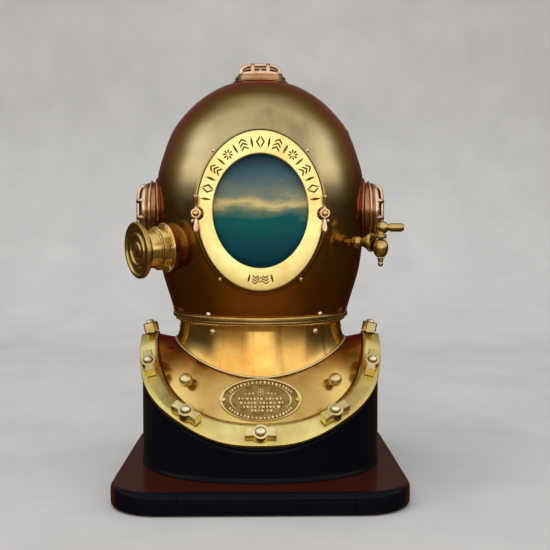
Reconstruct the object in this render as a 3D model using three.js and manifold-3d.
// Decorative twelve-bolt diving helmet on a lacquered wooden stand.
// Millimetres, +Z up, the oval front port faces -Y, origin at the centre of the
// underside of the stand. Azimuths run from the front (-Y) toward +X.
// Left is -X and right is +X.
import * as THREE from 'three';
import Module from 'manifold-3d';

const wasm = await Module();
wasm.setup();

const DEG = Math.PI / 180;
const TURN = 2 * Math.PI;

// ---------- driving dimensions ----------
// Plan ovals are superellipses: half width x, half depth y, exponent power.
const BASE = { width: 300, depth: 306, cornerRadius: 50, top: 23 };
const DRUM = { x: 130, y: 121, power: 2.3 };
const DRUM_WALL = 15;
const RIM_OUTER = { x: 131.5, y: 127, power: 2.5 };  // breastplate edge
const RIM_INNER = { x: 112, y: 111.5, power: 2.4 };  // inner line of the rim band
const NECK_RADIUS = 93.5;
const NECK_Z = 155;
const NECK_DIP = 0.0036;    // the neck seam drops by this times y squared
const NECK_LIP_RADIUS = 86; // inner edge of the breastplate
const SHEET = 2.5;          // breastplate thickness
const BAND = 3;             // rim band thickness
const BAND_LIFT = 0.75;     // rim band underside above the breastplate
const BAND_SPLIT = [21.2, 21.8]; // y where the front band ends and the rear one starts

// Side view of the breastplate rim: [distance from the axis along y, z]
const SADDLE = [
  [0, 159], [15, 152], [35, 135], [50, 123.5], [67, 112], [90, 96.5],
  [105, 85.5], [113, 78.5], [120, 70.5], [127, 61], [140, 43],
];
// Rim bolts: [azimuth in degrees, reach across the breastplate]
const RIM_BOLTS = [
  [0, 1.62], [35, 1.6], [69, 1.5], [90, 1.42], [111, 1.5], [145, 1.6],
  [180, 1.62], [215, 1.6], [249, 1.5], [270, 1.42], [291, 1.5], [325, 1.6],
];
// Outside of the bonnet: [radius, z]
const DOME = [
  [95, 185.3], [100.4, 202], [108.6, 230], [113, 260], [114.6, 290],
  [114.6, 315], [112.6, 335], [107.5, 354], [97.3, 381], [82, 401.5],
  [60, 421.6], [35.7, 434.4], [0, 438.4],
];
const DOME_FOOT_Z = DOME[0][1];
const SHELL = 3;            // bonnet wall
const UPPER_RING_Z = 180.8; // underside of the bonnet ring's flange

const PORT_Z = 291.5;       // centre of the oval front port
const FRAME_FRONT = 118.4;  // port distances are forward of the axis
const FACE_RING = { outer: [61.7, 78.3], inner: [46.5, 55.4], back: 118.8, front: 123.3 };
const SWING_BOLT = { x: 62.2, z: 289, pivot: 107.5 };
const SIDE_Z = 297;
const SIDE_FACE = 124.4;    // outer face of a side port frame, from the axis
const TOP_FACE = 442.6;     // upper face of the top port frame
const GUARD_GAP = 0.3;      // between a port frame and its guard
const COCK = { azimuth: 54.5 * DEG, pipeZ: 261, bodyZ: 255, radius: 150 };

const SWEEP_SEGMENTS = 44;
const DOME_SEGMENTS = 36;
const SIDES = [['left', -1], ['right', 1]];

// ---------- finishes ----------
const FINISH = {
  lacquer: { color: 0x0b0b10, roughness: 0.18, metalness: 0 },
  felt: { color: 0x1d2a22, roughness: 0.95, metalness: 0 },
  brass: { color: 0xc79a3f, roughness: 0.3, metalness: 0.9 },
  gold: { color: 0xdcb55c, roughness: 0.28, metalness: 0.9 },
  bronze: { color: 0x7a5a22, roughness: 0.3, metalness: 0.85 },
  copper: { color: 0xb87a63, roughness: 0.32, metalness: 0.9 },
  glass: { color: 0x0f3c46, roughness: 0.06, metalness: 0.1 },
  black: { color: 0x16130f, roughness: 0.8, metalness: 0 },
  steel: { color: 0xb9b7ae, roughness: 0.35, metalness: 0.9 },
  leather: { color: 0x4a2c18, roughness: 0.85, metalness: 0 },
};

// ---------- points and frames ----------
const vec = (x, y, z) => new THREE.Vector3(x, y, z);
const ORIGIN = vec(0, 0, 0);
const UP = vec(0, 0, 1);
const RIGHT = vec(1, 0, 0);
const FORWARD = vec(0, -1, 0);
const around = (radius, azimuth, z) =>
  vec(radius * Math.sin(azimuth), -radius * Math.cos(azimuth), z);
const aim = (azimuth, elevation = 0) =>
  around(Math.cos(elevation), azimuth, Math.sin(elevation));

// Moves geometry from a local frame to world: local Z lies on axis, local X near along.
function seat(geometry, { at, axis, along = UP }) {
  const z = axis.clone().normalize();
  const x = along.clone().sub(z.clone().multiplyScalar(along.dot(z))).normalize();
  const y = z.clone().cross(x);
  return geometry.clone().applyMatrix4(new THREE.Matrix4().makeBasis(x, y, z).setPosition(at));
}

// ---------- solids and parts ----------
// Welds a geometry's vertices on a 0.0005 mm grid and makes a Manifold of it.
function solid(geometry) {
  const { position } = geometry.attributes;
  const { index } = geometry;
  const welded = new Map();
  const vertices = [];
  const triangles = [];
  const pick = (corner) => {
    const i = index ? index.getX(corner) : corner;
    const point = [position.getX(i), position.getY(i), position.getZ(i)];
    const key = point.map((value) => Math.round(value * 2000)).join(',');
    if (!welded.has(key)) {
      welded.set(key, vertices.length / 3);
      vertices.push(...point);
    }
    return welded.get(key);
  };
  const cornerCount = index ? index.count : position.count;
  for (let i = 0; i < cornerCount; i += 3) {
    const corners = [pick(i), pick(i + 1), pick(i + 2)];
    if (new Set(corners).size === 3) triangles.push(...corners);
  }
  return new wasm.Manifold(new wasm.Mesh({
    numProp: 3,
    vertProperties: new Float32Array(vertices),
    triVerts: new Uint32Array(triangles),
  }));
}

function geometryOf(body) {
  const mesh = body.getMesh();
  const geometry = new THREE.BufferGeometry();
  const positions = Float32Array.from(mesh.vertProperties);
  geometry.setAttribute('position', new THREE.BufferAttribute(positions, 3));
  geometry.setIndex(Array.from(mesh.triVerts));
  geometry.computeVertexNormals();
  return geometry;
}

const join = (body, ...geometries) =>
  geometries.reduce((result, geometry) => result.add(solid(geometry)), body);
const cut = (body, ...geometries) =>
  geometries.reduce((result, geometry) => result.subtract(solid(geometry)), body);

// Adds a named mesh made from a geometry or a Manifold.
function addPart(parent, name, shape, finish) {
  const geometry = shape.isBufferGeometry ? shape : geometryOf(shape);
  const mesh = new THREE.Mesh(geometry, new THREE.MeshStandardMaterial(finish));
  mesh.name = name;
  parent.add(mesh);
}

function addGroup(parent, name) {
  const child = new THREE.Group();
  child.name = name;
  parent.add(child);
  return child;
}

// ---------- shapes ----------
const closed = (points) => [...points, points[0]];

// [radius, height] profile turned about +Z
function turned(profile, segments = 24) {
  const points = profile.map(([radius, height]) => new THREE.Vector2(radius, height));
  return new THREE.LatheGeometry(points, segments).rotateX(Math.PI / 2);
}

const rod = (radius, bottom, top, segments = 16) =>
  turned([[0, bottom], [radius, bottom], [radius, top], [0, top]], segments);

// Lathe mesh whose vertices are placed by section(angle), a list of points.
function lathe(segments, section) {
  const count = section(0).length;
  const placeholder = Array.from({ length: count }, (_, j) => new THREE.Vector2(1, j));
  const geometry = new THREE.LatheGeometry(placeholder, segments);
  const { position } = geometry.attributes;
  for (let i = 0; i <= segments; i++) {
    section((i % segments) / segments * TURN)
      .forEach((point, j) => position.setXYZ(i * count + j, ...point));
  }
  geometry.computeVertexNormals();
  return geometry;
}

// Closed section(azimuth) carried round the axis, its stations closer at the sides.
const swept = (section) => lathe(SWEEP_SEGMENTS, (angle) =>
  closed(section(angle + 0.12 * Math.sin(2 * angle))));

// Oval about the front port's axis: [half width, half height, distance forward]
const oval = (profile, segments = 32) => lathe(segments, (angle) =>
  profile.map(([halfWidth, halfHeight, forward]) =>
    vec(-halfWidth * Math.sin(angle), -forward, PORT_Z + halfHeight * Math.cos(angle))));

// Box between two opposite corners
function block(from, to) {
  const size = to.map((value, i) => Math.abs(value - from[i]));
  const centre = to.map((value, i) => (value + from[i]) / 2);
  return new THREE.BoxGeometry(...size).translate(...centre);
}

const extruded = (shape, depth, curveSegments) =>
  new THREE.ExtrudeGeometry(shape, { depth, bevelEnabled: false, curveSegments });
const alongPath = (shape, extrudePath, steps) =>
  new THREE.ExtrudeGeometry(shape, { steps, bevelEnabled: false, extrudePath });

// Regular polygon; shift turns it by that fraction of a side.
function polygon(radius, sides, shift = 0) {
  const points = Array.from({ length: sides }, (_, k) => {
    const angle = (k + shift) * TURN / sides;
    return new THREE.Vector2(radius * Math.cos(angle), radius * Math.sin(angle));
  });
  const shape = new THREE.Shape(points);
  shape.closePath();
  return shape;
}

// Adds four 40 degree lugs at the quarter points of a ring.
function joinLugs(ring, innerRadius, outerRadius, bottom, top) {
  const half = 20 * DEG;
  const lugs = [0, 90, 180, 270].map((degrees) => {
    const middle = degrees * DEG;
    const shape = new THREE.Shape();
    shape.absarc(0, 0, outerRadius, middle - half, middle + half, false);
    shape.absarc(0, 0, innerRadius, middle + half, middle - half, true);
    return extruded(shape, top - bottom, 3).translate(0, 0, bottom);
  });
  return join(ring, ...lugs);
}

// ---------- breastplate surface ----------
function ovalRadius({ x, y, power }, azimuth) {
  const sum = Math.pow(Math.abs(Math.sin(azimuth)) / x, power)
    + Math.pow(Math.abs(Math.cos(azimuth)) / y, power);
  return 1 / Math.pow(sum, 1 / power);
}

// Slopes at the SADDLE points: harmonic means keep the curve free of overshoot.
const saddleSlopes = (() => {
  const chords = SADDLE.slice(1).map(([y, z], i) =>
    (z - SADDLE[i][1]) / (y - SADDLE[i][0]));
  const inside = chords.slice(1).map((chord, i) => 2 / (1 / chords[i] + 1 / chord));
  return [0, ...inside, chords.at(-1)];
})();

// Height of the rim at y, a cubic Hermite curve through SADDLE
function saddleZ(y) {
  const distance = Math.min(Math.abs(y), 139.9);
  let i = 0;
  while (SADDLE[i + 1][0] < distance) i++;
  const [startY, startZ] = SADDLE[i];
  const [endY, endZ] = SADDLE[i + 1];
  const span = endY - startY;
  const t = (distance - startY) / span;
  return startZ * (1 + 2 * t) * (1 - t) * (1 - t)
    + saddleSlopes[i] * span * t * (1 - t) * (1 - t)
    + endZ * t * t * (3 - 2 * t)
    + saddleSlopes[i + 1] * span * t * t * (t - 1);
}

const neckZ = (azimuth) => NECK_Z - NECK_DIP * Math.pow(NECK_RADIUS * Math.cos(azimuth), 2);

// Point on the surface. Reach is 0 at the neck seam, 1 at the rim band's inner line
// and 2 at the edge.
function skin(reach, azimuth) {
  const inner = ovalRadius(RIM_INNER, azimuth);
  const cos = Math.cos(azimuth);
  if (reach <= 1) {
    const seam = neckZ(azimuth);
    const bulge = 6 * Math.pow(Math.abs(cos), 1.2) * 4 * reach * (1 - reach);
    const z = seam + (saddleZ(inner * cos) - seam) * reach + bulge;
    return around(NECK_RADIUS + (inner - NECK_RADIUS) * reach, azimuth, z);
  }
  const radius = inner + (ovalRadius(RIM_OUTER, azimuth) - inner) * (reach - 1);
  const sideDroop = 4 * (reach - 1) * Math.pow(Math.abs(Math.sin(azimuth)), 6);
  return around(radius, azimuth, saddleZ(radius * cos) - sideDroop);
}

const chordAround = (reach, azimuth) =>
  skin(reach, azimuth + 0.01).sub(skin(reach, azimuth - 0.01));

// Upward normal. Side 1 samples only outward of the point, -1 only inward, 0 both ways.
function normal(reach, azimuth, side = 0) {
  const from = side > 0 ? reach : Math.max(reach - 0.02, 0);
  const to = side < 0 ? reach : Math.min(reach + 0.02, 2);
  const result = skin(to, azimuth).sub(skin(from, azimuth))
    .cross(chordAround(reach, azimuth)).normalize();
  return result.z < 0 ? result.negate() : result;
}

const lifted = (reach, azimuth, lift, side = 0) =>
  skin(reach, azimuth).add(normal(reach, azimuth, side).multiplyScalar(lift));

const skinFrame = (reach, azimuth, along) =>
  ({ at: skin(reach, azimuth), axis: normal(reach, azimuth), along });

// [reach, azimuth] of the chest point with a given x and z
function chestSpot(x, z) {
  let reach = 0.5;
  let azimuth = x / 105;
  for (let i = 0; i < 14; i++) {
    const point = skin(reach, azimuth);
    azimuth = Math.asin(x / Math.hypot(point.x, point.y));
    reach = Math.min(Math.max(reach + (point.z - z) / 45, 0.02), 0.98);
  }
  return [reach, azimuth];
}

// Height of the pedestal top at a radius, clear of the sheet above it
function pedestalZ(radius, azimuth) {
  const drop = SHEET + 1.8;
  const inner = ovalRadius(RIM_INNER, azimuth);
  const outer = ovalRadius(RIM_OUTER, azimuth);
  const reach = Math.min(Math.max(1 + (radius - inner) / (outer - inner), 1.001), 2);
  return skin(reach, azimuth).z - drop / normal(reach, azimuth, reach < 1.5 ? 1 : -1).z;
}

const ringSection = (azimuth, profile) =>
  profile.map(([radius, z]) => around(radius, azimuth, z));

// ---------- stand ----------
// Rounded rectangle of the base, drawn in by inset
function baseOutline(inset) {
  const radius = BASE.cornerRadius - inset;
  const halfWidth = BASE.width / 2 - inset;
  const halfDepth = BASE.depth / 2 - inset;
  const x = halfWidth - radius;
  const y = halfDepth - radius;
  // [arc start x, y, arc centre x, y]
  const corners = [
    [x, -halfDepth, x, -y], [halfWidth, y, x, y],
    [-x, halfDepth, -x, y], [-halfWidth, -y, -x, -y],
  ];
  const shape = new THREE.Shape();
  shape.moveTo(-x, -halfDepth);
  corners.forEach(([startX, startY, centreX, centreY], i) => {
    shape.lineTo(startX, startY);
    shape.absarc(centreX, centreY, radius, (i - 1) * Math.PI / 2, i * Math.PI / 2, false);
  });
  return shape;
}

function basePlate() {
  const bevel = 3;
  const bottom = 1.3;
  return new THREE.ExtrudeGeometry(baseOutline(bevel), {
    depth: BASE.top - bottom - 2 * bevel,
    bevelEnabled: true,
    bevelSize: bevel,
    bevelThickness: bevel,
    bevelSegments: 2,
    curveSegments: 5,
  }).translate(0, 0, bottom + bevel);
}

// Hollow drum whose top follows the underside of the breastplate
function pedestal() {
  const chamfer = 3;
  const bottom = BASE.top + 0.3;
  const bore = { x: DRUM.x - DRUM_WALL, y: DRUM.y - DRUM_WALL, power: DRUM.power };
  return swept((azimuth) => {
    const outer = ovalRadius(DRUM, azimuth);
    const inner = ovalRadius(bore, azimuth);
    const shoulder = outer - chamfer;
    const middle = (inner + shoulder) / 2;
    const top = pedestalZ(shoulder, azimuth);
    return ringSection(azimuth, [
      [inner, bottom],
      [outer, bottom],
      [outer, Math.min(top, pedestalZ(outer, azimuth)) - chamfer],
      [shoulder, top - 0.4],
      [middle, pedestalZ(middle, azimuth)],
      [inner, pedestalZ(inner, azimuth)],
    ]);
  });
}

function buildWoodenBase(parent) {
  const wood = addGroup(parent, 'wooden_base');
  const screwSpots = [45, 135, 225, 315].map((degrees) =>
    around(ovalRadius(DRUM, degrees * DEG) - DRUM_WALL / 2, degrees * DEG, 0));
  const countersunk = [[0, 0], [5.6, 0], [5.6, 3.2], [2.9, 6], [2.9, 30], [0, 30]];
  const screw = [[0, 1.6], [5.2, 1.6], [5.2, 2.9], [2.4, 5.7], [2.4, 44], [0, 48]];
  const plateHoles = screwSpots.map((spot) => turned(countersunk, 14).translate(...spot));
  const drumHoles = screwSpots.map((spot) => rod(2.7, 20, 50, 12).translate(...spot));

  addPart(wood, 'base_felt', extruded(baseOutline(10), 1, 6), FINISH.felt);
  addPart(wood, 'base_plate', cut(solid(basePlate()), ...plateHoles), FINISH.lacquer);
  addPart(wood, 'pedestal', cut(solid(pedestal()), ...drumHoles), FINISH.lacquer);
  screwSpots.forEach((spot, i) => addPart(wood, `pedestal_screw_${i + 1}`,
    turned(screw, 12).translate(...spot), FINISH.steel));
}

// ---------- corselet ----------
const rimBoltFrames = RIM_BOLTS.map(([degrees, reach]) =>
  skinFrame(reach, degrees * DEG, chordAround(reach, degrees * DEG).normalize()));

// Sheet with its twelve rim studs
function breastplate() {
  const sheet = swept((azimuth) => {
    const seam = neckZ(azimuth);
    const underNeck = lifted(0.02, azimuth, -SHEET * 1.2);
    underNeck.z = Math.min(underNeck.z, seam - SHEET);
    return [
      around(NECK_LIP_RADIUS, azimuth, seam - SHEET),
      underNeck,
      lifted(0.5, azimuth, -SHEET),
      lifted(1, azimuth, -SHEET * 1.05),
      lifted(2, azimuth, -SHEET, -1),
      ...[2, 1.5, 1, 0.67, 0.33, 0].map((reach) => skin(reach, azimuth)),
      around(NECK_LIP_RADIUS, azimuth, seam),
    ];
  });
  const stud = turned([[0, -1.5], [4.2, -1.5], [4.2, 15.4], [3, 17], [0, 17.8]], 8);
  return join(solid(sheet), ...rimBoltFrames.map((frame) => seat(stud, frame)));
}

function collar() {
  const top = 177.2;
  return swept((azimuth) => {
    const bottom = neckZ(azimuth) + 0.3;
    return ringSection(azimuth, [
      [88, bottom], [93.2, bottom], [90, bottom + 0.45 * (top - bottom)],
      [89, 174.6], [91.4, 176], [91.4, top], [85.5, top],
    ]);
  });
}

function lowerNeckRing() {
  const profile = [[80, 177.5], [94, 177.5], [94, 180.2], [84.2, 180.2], [84.2, 191.5], [80, 191.5]];
  return joinLugs(solid(turned(closed(profile), DOME_SEGMENTS)), 83.6, 86.6, 188, 191.5);
}

function rimBand() {
  // [reach, side of the normal sample]
  const stations = [[1.04, 1], [1.5, 0], [1.995, -1]];
  const band = swept((azimuth) => {
    const layer = (lift) => stations.map(([reach, side]) => lifted(reach, azimuth, lift, side));
    return [...layer(BAND_LIFT), ...layer(BAND_LIFT + BAND).reverse()];
  });
  const hole = rod(5.2, -3, 8, 8);
  return cut(solid(band), ...rimBoltFrames.map((frame) => seat(hole, frame)));
}

function wingNut() {
  const bar = block([-15.5, -4.5, 6.4], [15.5, 4.5, 13.2]);
  const boss = rod(7.8, 4.5, 14.4, 14);
  return geometryOf(cut(join(solid(bar), boss), rod(4.75, 0, 20, 10)));
}

function buildRimClamps(parent) {
  const rim = addGroup(parent, 'rim_clamps');
  const band = rimBand();
  const front = solid(block([-160, -160, 0], [160, BAND_SPLIT[0], 220]));
  const rear = solid(block([-160, BAND_SPLIT[1], 0], [160, 160, 220]));
  addPart(rim, 'rim_band_front', band.intersect(front), FINISH.gold);
  addPart(rim, 'rim_band_rear', band.intersect(rear), FINISH.gold);
  const nut = wingNut();
  rimBoltFrames.forEach((frame, i) => addPart(rim,
    `wing_nut_${String(i + 1).padStart(2, '0')}`, seat(nut, frame), FINISH.brass));
}

// Oval plate bent to the chest
function namePlate(centreZ) {
  const halfWidth = 41;
  const halfHeight = 19.8;
  // [fraction of the oval, lift above the breastplate]
  const profile = [[0, 0.7], [0.5, 0.7], [1, 0.7], [1, 3.2], [0.9, 4.1], [0.45, 4.1], [0, 4.1]];
  return lathe(24, (angle) => closed(profile.map(([fraction, lift]) => {
    const x = halfWidth * fraction * Math.sin(angle);
    const z = centreZ - halfHeight * fraction * Math.cos(angle);
    return lifted(...chestSpot(x, z), lift);
  })));
}

function buildChestFittings(parent) {
  const trim = addGroup(parent, 'chest_fittings');
  const plateZ = 102.3;
  const rivet = turned([[0, 4.4], [2.6, 4.4], [2.3, 5.5], [1.2, 6.1], [0, 6.3]], 10);
  const knob = turned([
    [0, 0.6], [3.6, 0.6], [3.6, 2.4], [5.8, 4], [7, 7.6], [5.9, 11.6], [3.4, 14], [0, 14.8],
  ], 12);
  addPart(trim, 'name_plate', solid(namePlate(plateZ)), FINISH.brass);
  SIDES.forEach(([side, sign]) => {
    const rivetFrame = skinFrame(...chestSpot(sign * 36.2, plateZ), RIGHT);
    const knobFrame = skinFrame(0.62, sign * 42 * DEG, RIGHT);
    addPart(trim, `plate_rivet_${side}`, seat(rivet, rivetFrame), FINISH.brass);
    addPart(trim, `chest_knob_${side}`, seat(knob, knobFrame), FINISH.brass);
  });
}

function buildCorselet(parent) {
  const corselet = addGroup(parent, 'corselet');
  const gasket = closed([[89.4, 180.5], [93, 180.5], [93, 181.7], [89.4, 181.7]]);
  addPart(corselet, 'breastplate', breastplate(), FINISH.bronze);
  addPart(corselet, 'collar', collar(), FINISH.gold);
  addPart(corselet, 'lower_neck_ring', lowerNeckRing(), FINISH.brass);
  addPart(corselet, 'neck_gasket', turned(gasket, DOME_SEGMENTS), FINISH.leather);
  buildRimClamps(corselet);
  buildChestFittings(corselet);
}

// ---------- bonnet shell ----------
const sideFrame = (sign) => ({ at: vec(0, 0, SIDE_Z), axis: vec(sign, 0, 0) });
const exhaustFrame = { at: around(112.6, -58 * DEG, 256), axis: aim(-58 * DEG, -5 * DEG) };
const cockFrame = { at: vec(0, 0, COCK.pipeZ), axis: aim(COCK.azimuth) };
const inletFrame = { at: vec(0, 0, 262), axis: aim(158 * DEG) };
const capFrame = { at: around(92.5, 102 * DEG, 388), axis: aim(102 * DEG, 38 * DEG) };

// Filled dome, slightly oversize, that trims the fittings clear of the shell
const domeClearance = (() => {
  const grow = 0.35;
  const outline = DOME.map(([radius, z]) => [
    radius && radius + grow * (z < 420 ? 1 : 0.5),
    z + (z > 380 ? grow : 0),
  ]);
  return solid(turned([[0, DOME_FOOT_Z], ...outline], DOME_SEGMENTS));
})();

// The inside uses every other dome point, and all of them near the crown.
function bonnetShell() {
  const inside = DOME.filter((_, i) => i % 2 === 0 || i > 9).map(([radius, z]) => {
    const taper = z > 330 ? SHELL * (z - 330) / 108 : 0;
    return [
      Math.max(radius - SHELL * (z > 430 ? 1.6 : 1), 0),
      z - (z > 436 ? SHELL : taper),
    ];
  });
  return cut(
    solid(turned(closed([...DOME, ...inside.reverse()]), DOME_SEGMENTS)),
    oval([[0, 0, 60], [49, 58.5, 60], [49, 58.5, 135], [0, 0, 135]]),
    ...SIDES.map(([, sign]) => seat(rod(22.2, 80, 130, 24), sideFrame(sign))),
    rod(18, 420, 450, 20),
    seat(rod(15.4, -25, 20), exhaustFrame),
    seat(rod(4.1, 95, 130, 10), cockFrame),
    seat(rod(8, 95, 130, 12), inletFrame),
  );
}

function upperNeckRing() {
  const profile = [
    [88.6, 182], [93.5, 182], [93.5, UPPER_RING_Z], [97, UPPER_RING_Z],
    [97, 185], [91.6, 185], [91.4, 194], [88.6, 194],
  ];
  return joinLugs(solid(turned(closed(profile), DOME_SEGMENTS)), 85.2, 89.2, 183, 186.6);
}

// ---------- front port ----------
function portFrame() {
  let frame = solid(oval(closed([
    [46.5, 56, 80], [65, 80.5, 80], [65, 80.5, FRAME_FRONT],
    [50.8, 60, FRAME_FRONT], [50.8, 60, 111.4], [46.5, 56, 111.4],
  ])));
  // The inner sleeve goes in after the trim, so it reaches back into the shell.
  const sleeve = closed([[46.5, 56, 98], [48.6, 58.1, 98], [48.6, 58.1, 111.2], [46.5, 56, 111.2]]);
  frame = join(frame.subtract(domeClearance), oval(sleeve));
  const { x, z, pivot } = SWING_BOLT;
  SIDES.forEach(([, sign]) => {
    const slot = block([sign * 55.5, -125, z - 4.8], [sign * 72, -101.5, z + 4.8]);
    const pin = rod(1.5, z - 8, z + 8, 8).translate(sign * x, -pivot, 0);
    frame = join(cut(frame, slot), pin);
  });
  return frame;
}

function faceRing() {
  const { outer: [outerX, outerZ], inner, back, front } = FACE_RING;
  const ease = 0.8;
  const ring = oval(closed([
    [...inner, back], [outerX, outerZ, back], [outerX, outerZ, front - ease],
    [outerX - ease, outerZ - ease, front], [...inner, front],
  ]), 40);
  const notches = SIDES.map(([, sign]) =>
    seat(rod(7, 0, 20), { at: vec(sign * outerX, -110, SWING_BOLT.z), axis: FORWARD }));
  return cut(solid(ring), ...notches);
}

// Swing bolt and its nut are drawn with the pivot at the origin, pointing forward.
const pointForward = (geometry) => seat(geometry, { at: ORIGIN, axis: FORWARD });

function swingBolt() {
  const shank = turned([[0, 1.6], [2.5, 1.6], [2.5, 25], [0, 26]], 10);
  const eye = rod(4, -4.2, 4.2, 12);
  return geometryOf(cut(join(solid(eye), pointForward(shank)), rod(1.9, -6, 6, 10)));
}

function faceWingNut() {
  const outline = new THREE.Shape();
  outline.moveTo(3, 18.5);
  outline.lineTo(7, 18.7);
  outline.quadraticCurveTo(17, 19.2, 18.6, 22.4);
  outline.quadraticCurveTo(19.6, 25.2, 16.8, 25.9);
  outline.quadraticCurveTo(9, 26.2, 3, 22.6);
  outline.closePath();
  const thickness = 3.6;
  const wing = extruded(outline, thickness, 3).translate(0, 0, -thickness / 2);
  const wings = join(solid(wing), wing.clone().rotateY(Math.PI));
  // Drawn with the wings along X and the bolt along Y; seated with the wings upright.
  const upright = solid(seat(geometryOf(wings), { at: ORIGIN, axis: RIGHT }));
  const withHub = join(upright, pointForward(rod(4.7, 16.8, 23.8, 12)));
  return geometryOf(cut(withHub, pointForward(rod(2.9, 10, 30, 10))));
}

function buildFrontPort(parent) {
  const port = addGroup(parent, 'front_port');
  const glass = [[0, 0, 111.8], [50.3, 59.5, 111.8], [50.3, 59.5, 116.7], [0, 0, 116.7]];
  const gasket = closed([
    [46.9, 56, 117], [50.3, 59.5, 117], [50.3, 59.5, FRAME_FRONT], [46.9, 56, FRAME_FRONT],
  ]);
  addPart(port, 'port_frame', portFrame(), FINISH.bronze);
  addPart(port, 'front_glass', oval(glass), FINISH.glass);
  addPart(port, 'port_gasket', oval(gasket), FINISH.black);
  addPart(port, 'face_ring', faceRing(), FINISH.gold);
  SIDES.forEach(([side, sign]) => {
    const pair = addGroup(port, `swing_bolt_group_${side}`);
    const pivot = vec(sign * SWING_BOLT.x, -SWING_BOLT.pivot, SWING_BOLT.z);
    addPart(pair, `swing_bolt_${side}`, swingBolt().translate(...pivot), FINISH.brass);
    addPart(pair, `face_wing_nut_${side}`, faceWingNut().translate(...pivot), FINISH.copper);
  });
}

// ---------- guarded side and top ports ----------
// Ring crossed by two pairs of arched bars; spacing is each bar's offset from centre.
function guard({ outer, inner, bottom, thickness, bar, rise, spacing }) {
  const top = bottom + thickness;
  const barRadius = bar / 2;
  const springRadius = (outer + inner) / 2 + 0.4;
  const half = Math.sqrt(springRadius * springRadius - spacing * spacing);
  const footZ = top - barRadius * 0.9;
  const controlZ = bottom + rise + 2.2;
  const path = new THREE.CubicBezierCurve3(
    vec(-half, 0, footZ),
    vec(-half * 0.62, 0, controlZ),
    vec(half * 0.62, 0, controlZ),
    vec(half, 0, footZ),
  );
  const arch = alongPath(polygon(barRadius, 5, 0.5), path, 5);
  const ring = turned(closed([
    [inner, bottom], [outer, bottom], [outer, top - 1.2], [outer - 1.4, top], [inner, top],
  ]), 20);
  const bars = [-spacing, spacing].flatMap((offset) => [
    arch.clone().translate(0, offset, 0),
    arch.clone().rotateZ(Math.PI / 2).translate(offset, 0, 0),
  ]);
  return geometryOf(join(solid(ring), ...bars));
}

function buildSidePort(parent, side, sign) {
  const port = addGroup(parent, `${side}_port`);
  const frame = sideFrame(sign);
  const profile = closed([
    [21.6, 90], [34, 90], [34, 118.4], [31.8, 119.4], [31.8, 121.6], [29.6, 122.4],
    [29.6, SIDE_FACE], [24.6, SIDE_FACE], [24.6, 118.8], [21.6, 118.8],
  ]);
  const body = solid(seat(turned(profile), frame)).subtract(domeClearance);
  const cage = guard({
    outer: 28.9, inner: 24.4, bottom: SIDE_FACE + GUARD_GAP, thickness: 3.8,
    bar: 4.8, rise: 10, spacing: 9,
  });
  addPart(port, `${side}_port_frame`, body, FINISH.brass);
  addPart(port, `${side}_port_glass`, seat(rod(24.2, 119.1, 123.4, 20), frame), FINISH.glass);
  addPart(port, `${side}_port_guard`, seat(cage, frame), FINISH.copper);
}

function buildTopPort(parent) {
  const port = addGroup(parent, 'top_port');
  const profile = closed([
    [17.4, 430], [28, 430], [28, TOP_FACE - 1], [27.2, TOP_FACE],
    [21.4, TOP_FACE], [21.4, 439.6], [17.4, 439.6],
  ]);
  const cage = guard({
    outer: 25, inner: 19.6, bottom: TOP_FACE + GUARD_GAP, thickness: 3.6,
    bar: 4.6, rise: 12.4, spacing: 8.25,
  });
  addPart(port, 'top_port_frame', solid(turned(profile)).subtract(domeClearance), FINISH.brass);
  addPart(port, 'top_port_glass', rod(21, 439.9, 442.3, 20), FINISH.glass);
  addPart(port, 'top_port_guard', cage, FINISH.copper);
}

// ---------- exhaust valve ----------
function exhaustBody() {
  const onValve = (geometry) => seat(geometry, exhaustFrame);
  const outside = turned([
    [0, -14], [26, -14], [26, 6.6], [22.8, 6.6], [22.8, 15.4], [21, 15.8],
    [21, 17.4], [19.8, 17.8], [19.8, 27.8], [0, 27.8],
  ]);
  const trimmed = solid(onValve(outside)).subtract(domeClearance);
  const withSpigot = join(trimmed, onValve(rod(14.9, -9, 3)));
  return cut(withSpigot, onValve(rod(11.6, -15, 24.2)), onValve(rod(3.7, 20, 40, 12)));
}

function exhaustSpring() {
  const steps = 32;
  const coils = 4;
  const coilRadius = 6.6;
  const bottom = 4.8;
  const height = 17.8;
  const points = Array.from({ length: steps + 1 }, (_, i) => {
    const angle = i / steps * coils * TURN;
    const z = bottom + height * i / steps;
    return vec(coilRadius * Math.cos(angle), coilRadius * Math.sin(angle), z);
  });
  return alongPath(polygon(0.9, 5), new THREE.CatmullRomCurve3(points), steps);
}

function buildExhaustValve(parent) {
  const valve = addGroup(parent, 'exhaust_valve');
  const handwheel = turned([
    [0, -1], [10.4, -1], [10.4, 1.2], [3.1, 2.2], [3.1, 28.4], [9, 28.4], [9, 32.4],
    [29.2, 32.4], [29.2, 37.8], [25, 37.8], [24.2, 36.8], [17.4, 36.8], [16.6, 37.8],
    [12.6, 37.8], [11.8, 36.8], [6, 36.8], [5, 38.2], [0, 38.5],
  ], 28);
  addPart(valve, 'exhaust_body', exhaustBody(), FINISH.brass);
  addPart(valve, 'exhaust_handwheel', seat(handwheel, exhaustFrame), FINISH.brass);
  addPart(valve, 'exhaust_spring', seat(exhaustSpring(), exhaustFrame), FINISH.steel);
}

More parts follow.
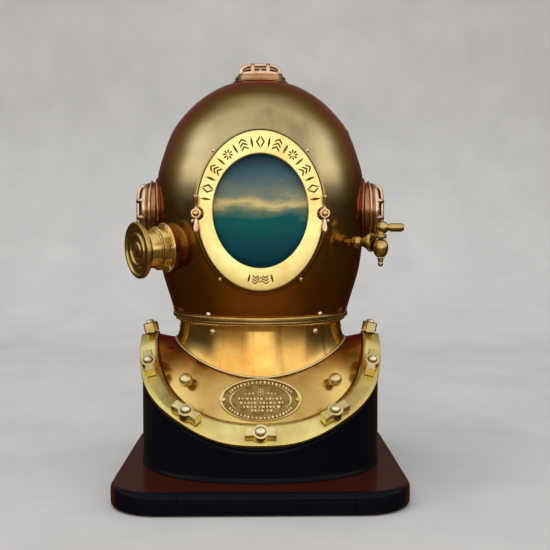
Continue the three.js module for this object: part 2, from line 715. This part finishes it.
// ---------- spit cock ----------
function buildSpitCock(parent) {
  const cock = addGroup(parent, 'spit_cock');
  const centre = around(COCK.radius, COCK.azimuth, COCK.bodyZ);
  const lever = vec(centre.x + 2, centre.y, centre.z + 21.1);

  const pipe = turned(closed([
    [2, 106], [3.5, 106], [3.5, 117], [5.4, 118.9], [6.5, 122.6], [5.4, 126.4], [4, 128.2],
    [7.4, 135.4], [7.4, 136.4], [9.8, 137], [9.8, 141], [2, 142.2],
  ]), 12);
  addPart(cock, 'spitcock_pipe', solid(seat(pipe, cockFrame)), FINISH.brass);

  const barrel = turned([
    [0, -9.4], [4.4, -9.4], [7.4, -4], [7.85, 1], [6.6, 7], [5, 9.4], [0, 9.4],
  ], 14);
  const body = cut(
    solid(barrel.translate(...centre)),
    rod(2.9, -20, 20, 12).translate(...centre),
    seat(rod(10.2, 120, 142.5), cockFrame),
  );
  addPart(cock, 'spitcock_body', body, FINISH.brass);

  const plug = turned([
    [0, -8.6], [2.5, -8.6], [2.5, 9.9], [6, 9.9], [6, 14.4], [3.6, 15.4], [3.6, 19], [0, 19],
  ], 12);
  const knuckle = turned([[0, -6.4], [4.4, -4.7], [6.4, 0], [4.4, 4.7], [0, 6.4]], 12);
  const handle = turned([[0, 0], [3.6, 0], [3.6, 7], [4.35, 9], [4.35, 19.5], [0, 22]], 10);
  const leverBody = join(
    solid(plug.translate(...centre)),
    knuckle.translate(...lever),
    seat(handle, { at: lever, axis: RIGHT }),
  );
  addPart(cock, 'spitcock_lever', leverBody, FINISH.brass);

  const bottomNut = turned([
    [0, -18.8], [2, -18.2], [2.75, -16], [2.2, -14], [2.9, -13.4], [2.9, -10.6],
    [4.4, -9.7], [0, -9.7],
  ], 10);
  addPart(cock, 'spitcock_bottom_nut', bottomNut.translate(...centre), FINISH.brass);
}

// ---------- rear air inlet and crown cap ----------
function buildAirInlet(parent) {
  const inlet = addGroup(parent, 'air_inlet');
  const alongInlet = (distance) =>
    inletFrame.axis.clone().multiplyScalar(distance).add(inletFrame.at);
  const start = alongInlet(120);
  const knee = alongInlet(140);
  const end = knee.clone().add(vec(0, 0, -26));
  const bend = new THREE.CubicBezierCurve3(
    start, knee.clone().lerp(start, 0.25), knee.clone().lerp(end, 0.15), end,
  );
  const flange = turned([[0, 100], [17, 100], [17, 118.6], [10, 119.6], [9.4, 128], [0, 128]], 20);
  const tail = turned([[0, -15], [7, -15], [7, -3.4], [10, -3.4], [10, 0.7], [0, 0.7]], 16);
  const elbow = join(
    solid(seat(flange, inletFrame)).subtract(domeClearance),
    seat(rod(7.4, 104, 117, 14), inletFrame),
    alongPath(polygon(7.8, 10), bend, 6),
    tail.translate(...end),
  );
  addPart(inlet, 'inlet_elbow', elbow, FINISH.brass);

  const hexagon = polygon(13.5, 6);
  const bore = new THREE.Path();
  bore.absarc(0, 0, 8.6, 0, TURN, true);
  hexagon.holes.push(bore);
  const unionNut = extruded(hexagon, 15, 8).translate(end.x, end.y, end.z - 19);
  addPart(inlet, 'inlet_union_nut', unionNut, FINISH.brass);
}

function crownCap() {
  const cap = turned([[0, -8], [11, -8], [11, 3.6], [9.6, 5], [0, 5.4]], 16);
  return solid(seat(cap, capFrame)).subtract(domeClearance);
}

// ---------- assembly ----------
const group = new THREE.Group();
group.name = 'diving_helmet_on_stand';

const stand = addGroup(group, 'stand');
buildWoodenBase(stand);
buildCorselet(stand);

const bonnet = addGroup(group, 'bonnet');
addPart(bonnet, 'bonnet_shell', bonnetShell(), FINISH.bronze);
addPart(bonnet, 'upper_neck_ring', upperNeckRing(), FINISH.brass);
buildFrontPort(bonnet);
SIDES.forEach(([side, sign]) => buildSidePort(bonnet, side, sign));
buildTopPort(bonnet);
buildExhaustValve(bonnet);
buildSpitCock(bonnet);
buildAirInlet(bonnet);
addPart(bonnet, 'crown_cap', crownCap(), FINISH.brass);

export default group;
